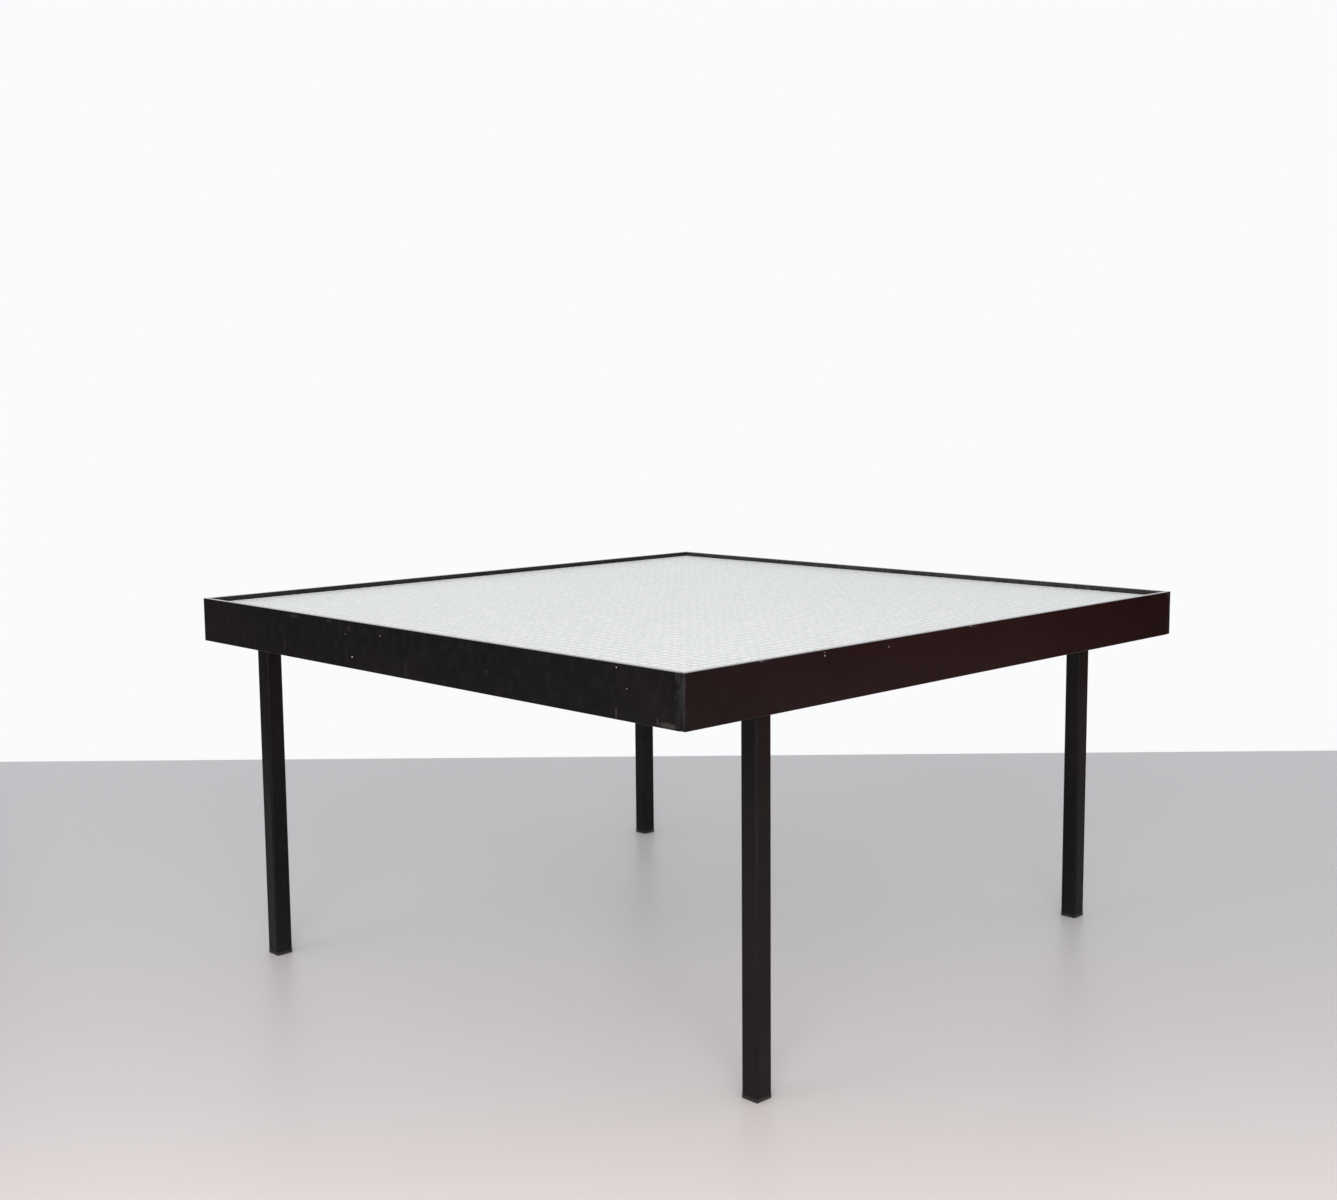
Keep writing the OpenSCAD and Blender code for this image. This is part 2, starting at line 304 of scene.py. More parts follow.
def cast_glass(name, clear, rough, relief):
    """Pale stippled glass; painted highlights in the mesh gaps, thin painted shade lines over the wires.
    """
    finish = Finish(name, {"IOR": GLASS_INDEX, "Transmission Weight": clear})
    stipple = finish.noise(STIPPLE_SCALE)
    ripple = finish.noise(RIPPLE_SCALE)
    cloud = finish.noise(CLOUD_SCALE, 3)
    wander_x = finish.x + GLASS_WANDER * (finish.noise(WANDER_SCALE_X) - 0.5)
    wander_y = finish.y + GLASS_WANDER * (finish.noise(WANDER_SCALE_Y) - 0.5)
    from_wire = finish.to_wire(wander_x).least(finish.to_wire(wander_y))
    broken = from_wire + RIPPLE_BREAK * (ripple - 0.5) + STIPPLE_BREAK * (stipple - 0.5)
    # Painted highlight: the glass is paler in the middle of each gap of the mesh, for the glint of its
    # cells
    pale_highlight = finish.step(broken, HIGHLIGHT_BEGINS, HIGHLIGHT_FULL)
    colour = finish.blend(pale_highlight, GLASS_GREY, GLASS_PALE_HIGHLIGHT)
    # Painted shade: thin dark lines over the wires, for the wires and their shade seen through the glass
    over_wire = finish.to_wire(finish.x).least(finish.to_wire(finish.y))
    wire_shade = finish.step(over_wire + LINE_BREAK * (stipple - 0.5), LINE_OUTSIDE, LINE_INSIDE)
    colour = finish.blend(wire_shade * 0.32, colour, GLASS_WIRE_SHADE)
    finish.paint_on({
        "Base Color": colour,
        "Roughness": rough + 0.06 * stipple + 0.03 * cloud,
        "Normal": finish.bump(0.7 * stipple + 0.3 * ripple, relief),
    })
    return finish.material


# Wire: colours, and scale of the tarnish
WIRE_DULL = (0.30, 0.30, 0.29, 1)
WIRE_BRIGHT = (0.48, 0.48, 0.46, 1)
TARNISH_SCALE = 60


def tinned_wire():
    """Dull tinned wire."""
    finish = Finish("tinned_wire", {"Metallic": 1.0})
    tarnish = finish.noise(TARNISH_SCALE, 3)
    colour = finish.blend(tarnish, WIRE_DULL, WIRE_BRIGHT)
    finish.paint_on({"Base Color": colour, "Roughness": 0.35 + 0.25 * tarnish})
    return finish.material


# Glazing tape: colours, scales of the cells and the soil, and relief
TAPE_CLEAN = (0.012, 0.012, 0.012, 1)
TAPE_SOILED = (0.030, 0.029, 0.028, 1)
CELL_SCALE = 900
SOIL_SCALE = 18
TAPE_RELIEF = 0.2 * MM


def glazing_tape():
    """Matt closed-cell foam strip."""
    finish = Finish("foam_glazing_tape", {})
    cells = finish.node("TexVoronoi", inputs={"Vector": finish.place, "Scale": CELL_SCALE})
    soil = finish.noise(SOIL_SCALE, 3)
    finish.paint_on({
        "Base Color": finish.blend(soil, TAPE_CLEAN, TAPE_SOILED),
        "Roughness": 0.82 + 0.12 * soil,
        "Normal": finish.bump(cells, TAPE_RELIEF),
    })
    return finish.material


# Feet: colours, scales, the heights between which the dust thins out, its raggedness, and relief
FOOT_BLACK = (0.006, 0.006, 0.006, 1)
FOOT_SCUFFED = (0.020, 0.019, 0.019, 1)
FOOT_DUSTY = (0.030, 0.029, 0.029, 1)
FOOT_SCUFF_SCALE = 300
FOOT_SCUFF_STRETCH = (1, 1, 0.15)
MOULD_SCALE = 900
FOOT_DUST_FULL = 1 * MM
FOOT_DUST_ENDS = 5 * MM
FOOT_DUST_RAGGEDNESS = 2 * MM
FOOT_RELIEF = 0.05 * MM


def foot_plastic():
    """Black moulded plastic, scuffed and dusty where it meets the floor."""
    finish = Finish("black_foot_plastic", {})
    scuffs = finish.noise(FOOT_SCUFF_SCALE, 3, FOOT_SCUFF_STRETCH)
    mould = finish.noise(MOULD_SCALE)
    dust = finish.step(finish.z + FOOT_DUST_RAGGEDNESS * scuffs, FOOT_DUST_ENDS, FOOT_DUST_FULL)
    scuff = finish.step(scuffs, 0.45, 0.7)
    colour = finish.blend(scuff * 0.6, FOOT_BLACK, FOOT_SCUFFED)
    colour = finish.blend(dust * 0.3, colour, FOOT_DUSTY)
    finish.paint_on({
        "Base Color": colour,
        "Roughness": 0.45 + 0.2 * scuff,
        "Normal": finish.bump(mould + 0.5 * scuffs, FOOT_RELIEF),
    })
    return finish.material


# Zinc: colours, scales of the bloom and of the turning marks, and relief
ZINC_DULL = (0.36, 0.36, 0.35, 1)
ZINC_BRIGHT = (0.60, 0.60, 0.57, 1)
BLOOM_SCALE = 220
TURNING_SCALE = 900
TURNING_STRETCH = (1, 1, 0.2)
ZINC_RELIEF = 0.02 * MM


def zinc_steel():
    """Dull zinc on screws, washers and nuts."""
    finish = Finish("zinc_plated_steel", {"Metallic": 1.0})
    bloom = finish.noise(BLOOM_SCALE, 4)
    turned = finish.noise(TURNING_SCALE, stretch=TURNING_STRETCH)
    finish.paint_on({
        "Base Color": finish.blend(bloom, ZINC_DULL, ZINC_BRIGHT),
        "Roughness": 0.30 + 0.25 * bloom,
        "Normal": finish.bump(turned, ZINC_RELIEF),
    })
    return finish.material


# Edges and marks of the painted pieces

# Chips in the paint of the rails: distance along from the through end, depth below the top edge and
# radius, all in millimetres
PALE_CHIPS = {
    "front": [
        (95, 0.9, 0.6),
        (180, 5.5, 0.9),
        (180, 2.5, 0.6),
        (273, 7.5, 0.7),
        (404, 0.8, 0.8),
        (741, 31, 0.5),
    ],
    "left": [(717, 3.8, 0.8), (730, 21, 0.64), (309, 37.5, 1.3), (361, 10.5, 0.6), (297, 14.5, 0.5)],
    "right": [(150, 3, 0.7), (420, 33, 0.6), (655, 6, 0.7)],
    "back": [(88, 20, 0.6), (350, 4, 0.8), (560, 41, 0.7)],
}

# Scuffs of the rails: distance along, depth below the top edge, half length and half height, all in
# millimetres, and strength
GREY_SCUFFS = {
    "front": [(410, 1.5, 9, 1.2, 0.6), (98, 1.0, 8, 0.8, 0.6), (620, 48.5, 12, 0.8, 0.4)],
    "left": [
        (781, 46.8, 12, 3.0, 1.0),
        (768, 45, 0.7, 4.5, 1.2),
        (716, 44.5, 0.8, 6.5, 2.5),
        (177, 37, 2, 10, 0.35),
        (403, 41, 2, 8, 0.35),
        (534, 28, 5, 2, 0.25),
        (198, 4, 10, 2.5, 0.5),
        (267, 3, 7, 2, 0.4),
        (305, 8, 4, 5, 0.3),
    ],
    "right": [(300, 46, 10, 1.5, 0.5), (610, 12, 5, 2, 0.3)],
    "back": [(480, 45, 9, 1.5, 0.5), (140, 8, 6, 1.5, 0.3)],
}

# Strength of the smears on each rail, and of the rubbing of the pane against its inner face
RAIL_SMEARS = {"front": 0.15, "right": 0.25, "back": 0.25, "left": 0.32}
RAIL_RUBBING = {"front": 0.7, "right": 1.0, "back": 0.5, "left": 0.7}

# Outlines of the marks: scales, and how far the raggedness moves them, for a scuff as a share of its size
RAGGED_SCALE = 700
BROKEN_SCALE = 420
GROUND_SCALE = 170
CHIP_RAGGEDNESS = 0.8 * MM
SCUFF_RAGGEDNESS = 1.5
END_RAGGEDNESS = 1.5 * MM
BUTT_RAGGEDNESS = 8 * MM

# Distances from a rail's ends where its ground places end and are full, and from its top edge where
# the ground places, the rubbed inner face and the hand-polished top end
THROUGH_ENDS = 2.4 * MM
THROUGH_FULL = 1.2 * MM
BUTT_ENDS = 6 * MM
BUTT_FULL = 2 * MM
GROUND_DEPTH = 70 * MM
RUBBED_ENDS = 9 * MM
RUBBED_FULL = 6 * MM
POLISHED_ENDS = 0.4 * MM
POLISHED_FULL = 0.1 * MM


def side_place(finish, side):
    """Distance along a side from its through end, and depth behind its outer face."""
    if side == "front":
        return finish.x + HALF, finish.y + HALF
    if side == "right":
        return finish.y + HALF, HALF - finish.x
    if side == "back":
        return HALF - finish.x, HALF - finish.y
    return HALF - finish.y, finish.x + HALF


def rail_edges(side):
    """Distance to the edges of one rail, for its paint."""

    def edge_of(finish):
        along, depth = side_place(finish, side)
        upright = inside(finish.z, RAIL_LOW.z, RAIL_HIGH.z)
        return middle_of(inside(along, 0, RAIL_LENGTH), inside(depth, 0, RAIL_THICKNESS), upright)

    return edge_of


def box_edges(low, high):
    """Distance to the edges of a box, for the paint of a leg or a plate."""

    def edge_of(finish):
        across = inside(finish.x, low.x, high.x)
        deep = inside(finish.y, low.y, high.y)
        return middle_of(across, deep, inside(finish.z, low.z, high.z))

    return edge_of


def chips_of(finish, side, along, below, ragged):
    """Chips down to the pale primer."""
    point = finish.point(along, below)
    pale = 0
    for chip_along, chip_below, radius in PALE_CHIPS[side]:
        away = finish.distance(point, chip_along * MM, chip_below * MM) + ragged * CHIP_RAGGEDNESS
        pale = finish.step(away, radius * MM, 0.4 * radius * MM) + pale
    return pale


def scuffs_of(finish, side, along, below, ragged):
    """Long grey scuffs and drips."""
    grey = 0
    for scuff_along, scuff_below, half_length, half_height, strength in GREY_SCUFFS[side]:
        across = (along - scuff_along * MM) / (half_length * MM)
        up = (below - scuff_below * MM) / (half_height * MM)
        away = across * across + up * up + SCUFF_RAGGEDNESS * ragged
        grey = strength * finish.step(away, 1.0, 0.2) + grey
    return grey


def ground_ends(finish, along, below, ragged):
    """Both ends of a rail, where its corner joints were ground."""
    patchy = finish.step(finish.noise(GROUND_SCALE, 5), 0.42, 0.60)
    from_butt = RAIL_LENGTH - along + BUTT_RAGGEDNESS * (1 - patchy)
    through_end = finish.step(along + END_RAGGEDNESS * ragged, THROUGH_ENDS, THROUGH_FULL)
    butt_end = finish.step(from_butt, BUTT_ENDS, BUTT_FULL)
    return through_end.most(butt_end) * (0.25 + 0.75 * patchy) * finish.step(below, GROUND_DEPTH, 0)


def rail_marks(side):
    """Masks of the chips, scuffs, ground ends and polished top of one rail, for its paint."""

    def marks_of(finish):
        along, depth = side_place(finish, side)
        below = RAIL_HIGH.z - finish.z
        outer = finish.step(depth, 0.5 * RAIL_THICKNESS, 0.2 * RAIL_THICKNESS)
        inner = finish.step(depth, 0.8 * RAIL_THICKNESS, 0.95 * RAIL_THICKNESS)
        ragged = finish.noise(RAGGED_SCALE, 3) - 0.5
        broken = 0.4 + 0.6 * finish.step(finish.noise(BROKEN_SCALE, 3), 0.40, 0.62)
        pale = chips_of(finish, side, along, below, ragged) * outer
        scuffed = scuffs_of(finish, side, along, below, ragged) * outer
        rubbed = RAIL_RUBBING[side] * inner * finish.step(below, RUBBED_ENDS, RUBBED_FULL)
        ground = ground_ends(finish, along, below, ragged)
        polished = finish.step(below, POLISHED_ENDS, POLISHED_FULL)
        return pale.least(1), ((scuffed + rubbed) * broken).least(1), ground, polished

    return marks_of


# Pieces

# Distances within which points are merged, and points count as lying on a cut
MERGE_REACH = 1e-6
CUT_REACH = 1e-7


def dress(name, material):
    """Gives a CAD node its finish."""
    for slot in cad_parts[name].material_slots:
        slot.material = material


def add_piece(shape, name, material, body, stands_for=()):
    """Turns a bmesh into a piece that rides on a body."""
    mesh = bpy.data.meshes.new(name)
    shape.to_mesh(mesh)
    shape.free()
    mesh.materials.append(material)
    piece = bpy.data.objects.new(name, mesh)
    bpy.context.scene.collection.objects.link(piece)
    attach(piece, body)
    if stands_for:
        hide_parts(*stands_for)
    return piece


def copy_in(shape, part, place):
    """Adds a copy of one shape to another at a place."""
    mesh = bpy.data.meshes.new("copy")
    part.to_mesh(mesh)
    mesh.transform(place)
    shape.from_mesh(mesh)
    bpy.data.meshes.remove(mesh)


def side_turn(number):
    """Turn from the front side to one of the others."""
    return Matrix.Rotation(number * QUARTER, 4, "Z")


def rod(radius, length, sides, pieces):
    """Closed rod along Z about the origin, its long edges cut into pieces."""
    shape = bmesh.new()
    size = {"radius1": radius, "radius2": radius, "depth": length}
    bmesh.ops.create_cone(shape, cap_ends=True, segments=sides, **size)
    long_edges = [edge for edge in shape.edges if edge.calc_length() > 0.9 * length]
    bmesh.ops.subdivide_edges(shape, edges=long_edges, cuts=pieces - 1, use_grid_fill=True)
    return shape


def lay_along_x(shape):
    """Turns a rod from Z to X."""
    bmesh.ops.rotate(shape, cent=(0, 0, 0), matrix=Matrix.Rotation(QUARTER, 3, "Y"), verts=shape.verts)


def cut_away(shape, point, normal):
    """Cuts off what lies behind a plane, and closes the cut."""
    parts = list(shape.verts) + list(shape.edges) + list(shape.faces)
    plane = {"plane_co": point, "plane_no": normal, "clear_inner": True}
    bmesh.ops.bisect_plane(shape, geom=parts, dist=CUT_REACH, **plane)
    bmesh.ops.holes_fill(shape, edges=[edge for edge in shape.edges if edge.is_boundary])


# Pane: samples in each gap of the mesh, depth of the pillow between wires and of the rolled unevenness,
# features a metre of that unevenness, and width of the ground arris
PANE_SAMPLES = 4
PILLOW_DEPTH = 0.30 * MM
ROLL_DEPTH = 0.12 * MM
ROLL_SCALE = 110
ARRIS = 0.8 * MM


def pane_relief(x, y):
    """Depth of the cast top face below the pane's highest level, quilted between the wires."""
    crown_x = 0.5 - 0.5 * math.cos(math.tau * x / MESH_PITCH)
    crown_y = 0.5 - 0.5 * math.cos(math.tau * y / MESH_PITCH)
    roll = 0.5 + 0.5 * noise.noise(Vector((x, y, 0)) * ROLL_SCALE)
    return PILLOW_DEPTH * (1 - crown_x * crown_y) + ROLL_DEPTH * roll


def glass_pane(top_finish, low_finish):
    """Pane with a cast top face, ground edges and a flat underside. It lets the lamps' light through."""
    half = PANE_HIGH.x
    flat = half - ARRIS
    segments = 2 * round(flat / MESH_PITCH * PANE_SAMPLES)
    shape = bmesh.new()
    bmesh.ops.create_grid(shape, x_segments=segments, y_segments=segments, size=flat)
    for vert in shape.verts:
        vert.co.z = PANE_HIGH.z - pane_relief(vert.co.x, vert.co.y)
    for face in shape.faces:
        face.smooth = True
    rim = [edge for edge in shape.edges if edge.is_boundary]
    for reach, level in (
        (half, PANE_HIGH.z - ARRIS),
        (half, PANE_LOW.z + ARRIS),
        (flat, PANE_LOW.z),
    ):
        made = bmesh.ops.extrude_edge_only(shape, edges=rim)["geom"]
        rim = [item for item in made if isinstance(item, bmesh.types.BMEdge) and item.is_boundary]
        for vert in [item for item in made if isinstance(item, bmesh.types.BMVert)]:
            widest = max(abs(vert.co.x), abs(vert.co.y))
            vert.co.x *= reach / widest
            vert.co.y *= reach / widest
            vert.co.z = level
    underside = bmesh.ops.contextual_create(shape, geom=rim)["faces"]
    bmesh.ops.recalc_face_normals(shape, faces=shape.faces)
    for face in underside:
        face.material_index = 1
    pane = add_piece(shape, "cast_pane", top_finish, "glass", ["glass_pane"])
    pane.data.materials.append(low_finish)
    pane.visible_shadow = False


# Wires: sides and pieces of each, how far it strays from a straight line and how often a metre, and the
# steps in the noise that give every wire and layer a stray of its own
WIRE_SIDES = 6
WIRE_PIECES = 31
WIRE_STRAY = 0.30 * MM
WIRE_STRAY_SCALE = 26
WIRE_STRAY_STEP = 1.7
LAYER_STRAY_STEP = 9.3


def wire_mesh(material):
    """Round wires that wander a little, as they do in glass that was rolled round them."""
    wire = rod(WIRE_RADIUS, MESH_HIGH.x - MESH_LOW.x, WIRE_SIDES, WIRE_PIECES)
    lay_along_x(wire)
    shape = bmesh.new()
    for turn, level in ((0, MESH_HIGH.z - WIRE_RADIUS), (1, MESH_LOW.z + WIRE_RADIUS)):
        for number in range(WIRE_COUNT):
            across = (number - (WIRE_COUNT - 1) / 2) * MESH_PITCH
            own_stray = (WIRE_STRAY_STEP * number, LAYER_STRAY_STEP * turn)
            strayed = wire.copy()
            for vert in strayed.verts:
                along = Vector((vert.co.x * WIRE_STRAY_SCALE, *own_stray))
                vert.co.y += across + WIRE_STRAY * noise.noise(along)
                vert.co.z += level
            copy_in(shape, strayed, side_turn(turn))
            strayed.free()
    wire.free()
    for face in shape.faces:
        face.smooth = len(face.verts) == 4
    add_piece(shape, "round_wires", material, "glass", ["wire_mesh"])


# Weld beads: radius, length of one ripple, its depth as a share of the radius, rows in it, how far its
# middle runs ahead, sides of the bead and the share of the radius that is left at its tips
BEAD = 3.0 * MM
BEAD_RIPPLE = 1.8 * MM
BEAD_RIPPLE_DEPTH = 0.16
BEAD_ROWS = 4
BEAD_BOW = 0.9
BEAD_SIDES = 24
BEAD_TIP = 0.25

# Stitches along each angle, and the share of the room below the angles that a corner bead takes up
STITCH_LENGTH = 35 * MM
STITCH_COUNT = 4
CORNER_SHARE = 0.98


def weld_bead(length):
    """Rippled bead along X, in a corner that opens towards +Y and +Z."""
    bead = rod(BEAD, length, BEAD_SIDES, round(length / BEAD_RIPPLE * BEAD_ROWS))
    lay_along_x(bead)
    for vert in bead.verts:
        bow = vert.co.y * vert.co.z / BEAD**2
        ripple = (vert.co.x / BEAD_RIPPLE + BEAD_BOW * bow) % 1
        past_end = max(0, abs(vert.co.x) - length / 2 + BEAD) / BEAD
        swell = math.sqrt(1 - (1 - BEAD_TIP**2) * past_end**2) - BEAD_RIPPLE_DEPTH * ripple**2
        vert.co.y *= swell
        vert.co.z *= swell
        vert.co.x += length / 2
    for facing in ((0, 1, 0), (0, 0, 1)):
        cut_away(bead, (0, 0, 0), facing)
    bmesh.ops.recalc_face_normals(bead, faces=bead.faces)
    for face in bead.faces:
        face.smooth = len(face.verts) == 4
    return bead


def corner_welds(material):
    """Upright beads in the inner corners of the frame, below the angles."""
    bead = weld_bead(CORNER_SHARE * (REST_LOW.z - RAIL_LOW.z))
    upright = Matrix.Rotation(QUARTER, 4, "Y")
    place = Matrix.Translation((-INNER_HALF, -INNER_HALF, REST_LOW.z)) @ upright
    shape = bmesh.new()
    for number in range(len(SIDES)):
        copy_in(shape, bead, side_turn(number) @ place)
    bead.free()
    add_piece(shape, "corner_beads", material, "frame", ["corner_welds"])


def rest_welds(material):
    """Stitches along the lower edge of each angle."""
    bead = weld_bead(STITCH_LENGTH)
    pitch = 2 * INNER_HALF / STITCH_COUNT
    downwards = Matrix.Rotation(-QUARTER, 4, "X")
    shape = bmesh.new()
    for number in range(len(SIDES)):
        for stitch in range(STITCH_COUNT):
            start = -INNER_HALF + (stitch + 0.5) * pitch - STITCH_LENGTH / 2
            place = Matrix.Translation((start, -INNER_HALF, REST_LOW.z)) @ downwards
            copy_in(shape, bead, side_turn(number) @ place)
    bead.free()
    add_piece(shape, "angle_stitches", material, "frame", ["rest_welds"])


def leg_welds(material):
    """Beads between two faces of each leg and its plate."""
    length = LEG_WIDTH - 2 * LEG_ROUNDING
    bead = weld_bead(length)
    top = Matrix.Translation((LEG_MIDDLE.x, LEG_MIDDLE.y, LEG_HIGH.z))
    across = Matrix.Translation((LEG_WIDTH / 2, -length / 2, 0)) @ Matrix.Rotation(QUARTER, 4, "Z")
    shape = bmesh.new()
    for number in range(len(SIDES)):
        for face in (0, 2):
            place = top @ side_turn(face) @ across @ Matrix.Rotation(2 * QUARTER, 4, "X")
            copy_in(shape, bead, side_turn(number) @ place)
    bead.free()
    add_piece(shape, "leg_beads", material, "frame", ["leg_welds"])


# Screws: place beside the leg, radius, and the thread's pitch, depth, rows a turn and sides
SCREW_REACH = 24 * MM
SCREW_RADIUS = 3.0 * MM
THREAD_PITCH = 1.0 * MM
THREAD_DEPTH = 0.5 * MM
THREAD_ROWS = 6
THREAD_SIDES = 24
THREAD_CLEARANCE = 0.1 * MM
BORE = SCREW_RADIUS + THREAD_CLEARANCE
SCREW_LOW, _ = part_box("leg_screws")

# Nuts: the CAD box, half the width across flats, radius where the chamfer begins and its slope, lead of
# the bore, and steps round
NUT_LOW, NUT_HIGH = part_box("leg_nuts")
NUT_MIDDLE = 0.5 * (NUT_LOW.z + NUT_HIGH.z)
NUT_FLAT = 5 * MM
NUT_CHAMFER = 4.8 * MM
NUT_SLOPE = math.tan(math.radians(30))
NUT_LEAD = 0.5 * MM
NUT_STEPS = 48

# Washers: the CAD box, radius, chamfer of the rim, and steps round
WASHER_LOW, WASHER_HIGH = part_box("leg_washers")
WASHER_RADIUS = 6.0 * MM
WASHER_EDGE = 0.25 * MM
WASHER_STEPS = 40


def turned_ring(profile, steps):
    """Ring turned about Z from a closed outline of radius and height."""
    shape = bmesh.new()
    corners = [shape.verts.new((radius, 0, height)) for radius, height in profile]
    outline = [shape.edges.new(pair) for pair in zip(corners, corners[1:] + corners[:1])]
    turn = {"cent": (0, 0, 0), "axis": (0, 0, 1), "angle": math.tau, "steps": steps, "use_merge": True}
    bmesh.ops.spin(shape, geom=corners + outline, **turn)
    bmesh.ops.recalc_face_normals(shape, faces=shape.faces)
    return shape


def at_screws(shape, part):
    """Copies a part to both screws of every leg."""
    for number in range(len(SIDES)):
        for reach in (-SCREW_REACH, SCREW_REACH):
            place = Matrix.Translation((LEG_MIDDLE.x + reach, LEG_MIDDLE.y, 0))
            copy_in(shape, part, side_turn(number) @ place)
    part.free()


def leg_washers(material):
    """Flat washers with a broken rim."""
    low = WASHER_LOW.z
    high = WASHER_HIGH.z
    rim = WASHER_RADIUS - WASHER_EDGE
    lower_rim = [(rim, low), (WASHER_RADIUS, low + WASHER_EDGE)]
    upper_rim = [(WASHER_RADIUS, high - WASHER_EDGE), (rim, high)]
    shape = bmesh.new()
    at_screws(shape, turned_ring([(BORE, low)] + lower_rim + upper_rim + [(BORE, high)], WASHER_STEPS))
    add_piece(shape, "washers", material, "frame", ["leg_washers"])


def leg_nuts(material):
    """Hexagon nuts with a turned chamfer on both faces."""
    low = NUT_LOW.z
    high = NUT_HIGH.z
    lower = [(BORE, low + NUT_LEAD), (BORE + NUT_LEAD, low), (NUT_CHAMFER, low), (NUT_FLAT, low)]
    upper = [(NUT_FLAT, high), (NUT_CHAMFER, high), (BORE + NUT_LEAD, high), (BORE, high - NUT_LEAD)]
    nut = turned_ring(lower + upper, NUT_STEPS)
    sixth = math.tau / 6
    for vert in nut.verts:
        if math.hypot(vert.co.x, vert.co.y) > 0.5 * (NUT_CHAMFER + NUT_FLAT):
            angle = math.atan2(vert.co.y, vert.co.x) % sixth - sixth / 2
            grow = 1 / math.cos(angle)
            drop = NUT_SLOPE * (NUT_FLAT * grow - NUT_CHAMFER)
            vert.co.x *= grow
            vert.co.y *= grow
            vert.co.z += drop if vert.co.z < NUT_MIDDLE else -drop
    shape = bmesh.new()
    at_screws(shape, nut)
    add_piece(shape, "chamfered_nuts", material, "frame", ["leg_nuts"])


def screw_tail():
    """Threaded end of a screw, with a pointed lead."""
    length = NUT_MIDDLE - SCREW_LOW.z
    tail = rod(SCREW_RADIUS, length, THREAD_SIDES, round(length / THREAD_PITCH * THREAD_ROWS))
    for vert in tail.verts:
        above = vert.co.z + length / 2
        turn = math.atan2(vert.co.y, vert.co.x) / math.tau
        groove = 2 * abs((above / THREAD_PITCH + turn) % 1 - 0.5)
        radius = min(SCREW_RADIUS - THREAD_DEPTH * groove, SCREW_RADIUS - THREAD_PITCH + above)
        vert.co.x *= radius / SCREW_RADIUS
        vert.co.y *= radius / SCREW_RADIUS
        vert.co.z = SCREW_LOW.z + above
    return tail


def leg_screws(material):
    """The CAD screws down to the middle of their nuts, with threaded ends."""
    shape = bmesh.new()
    shape.from_mesh(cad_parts["leg_screws"].data)
    bmesh.ops.remove_doubles(shape, verts=shape.verts, dist=MERGE_REACH)
    cut_away(shape, (0, 0, NUT_MIDDLE), (0, 0, 1))
    at_screws(shape, screw_tail())
    add_piece(shape, "threaded_screws", material, "frame", ["leg_screws"])


# Studio

# The camera stands where the photograph was taken from
PHOTO_WIDTH = 1337
FOCAL_PIXELS = 1656.1
SENSOR_WIDTH = 36
CAMERA_PLACE = Vector((-1.3557, -1.3633, 0.6315))
CAMERA_YAW = math.radians(-44.257)
CAMERA_PITCH = math.radians(-6.807)
CAMERA_ROLL = math.radians(-0.484)

# Level directions of the studio: the way the camera looks, and to the right of that
AHEAD = Vector((-math.sin(CAMERA_YAW), math.cos(CAMERA_YAW), 0))
RIGHT = Vector((math.cos(CAMERA_YAW), math.sin(CAMERA_YAW), 0))

# The floor runs a little way behind the table, where the pale backdrop begins
FLOOR_BEHIND = 1.0
FLOOR_IN_FRONT = 2.6
FLOOR_WIDTH = 12.0
FLOOR_DARKER = (0.483, 0.477, 0.494, 1)
FLOOR_LIGHTER = (0.513, 0.507, 0.524, 1)
FLOOR_SCALE = 1.3
BACKDROP_COLOUR = (0.963, 0.963, 0.981, 1)

# Upright dark cards at both sides, which only show in glossy surfaces: colour, and distance to the
# right of the table's middle
CARDS = {
    "left_card": ((0.18, 0.15, 0.16, 1), -1.3),
    "right_card": ((0.09, 0.01, 0.01, 1), 1.7),
}
CARD_AHEAD = -0.1
CARD_LENGTH = 2.4
CARD_FOOT = 0.03
CARD_TOP = 1.2

# A dim ceiling, so that more of the light comes in from the sides
CEILING_COLOUR = (0.54, 0.54, 0.55, 1)
CEILING_HEIGHT = 2.4
CEILING_SIZE = 4.0

# Lamps: place and target, each to the right of, ahead of and above the middle of the floor, then width,
# depth, power in watts and colour
LAMPS = {
    "key": ((-2.2, -1.4, 1.6), (0, 0, 0.1), 1.4, 1.4, 12, (1, 0.98, 0.97)),
    "fill": ((0, -2.9, 1.1), (0, -0.3, 0), 1.8, 1.8, 66, (1, 0.95, 0.93)),
    "warm": ((0, -1.25, 0.39), (0, -1.2, 0), 3.0, 0.5, 12, (1, 0.70, 0.50)),
}

# A narrow red lamp that only shows in glossy surfaces, for the tint of the front rail
GLOW = ((1.6, -0.35, 0.20), (0, -0.45, 0.42), 1.0, 0.36, 0.07, (1, 0.12, 0.12))
GLOW_SPREAD = math.radians(50)


def studio_place(right, ahead, up):
    """Point of the studio, as distances from the middle of the floor under the table."""
    return right * RIGHT + ahead * AHEAD + Vector((0, 0, up))


def make_camera():
    """Camera with the photograph's place, direction and field of view."""
    data = bpy.data.cameras.new("photo_camera")
    data.sensor_fit = "HORIZONTAL"
    data.sensor_width = SENSOR_WIDTH
    data.lens = SENSOR_WIDTH * FOCAL_PIXELS / PHOTO_WIDTH
    camera = bpy.data.objects.new("photo_camera", data)
    bpy.context.scene.collection.objects.link(camera)
    level = Matrix.Rotation(CAMERA_YAW, 4, "Z")
    tilt = Matrix.Rotation(QUARTER + CAMERA_PITCH, 4, "X") @ Matrix.Rotation(CAMERA_ROLL, 4, "Z")
    camera.matrix_world = Matrix.Translation(CAMERA_PLACE) @ level @ tilt
    bpy.context.scene.camera = camera


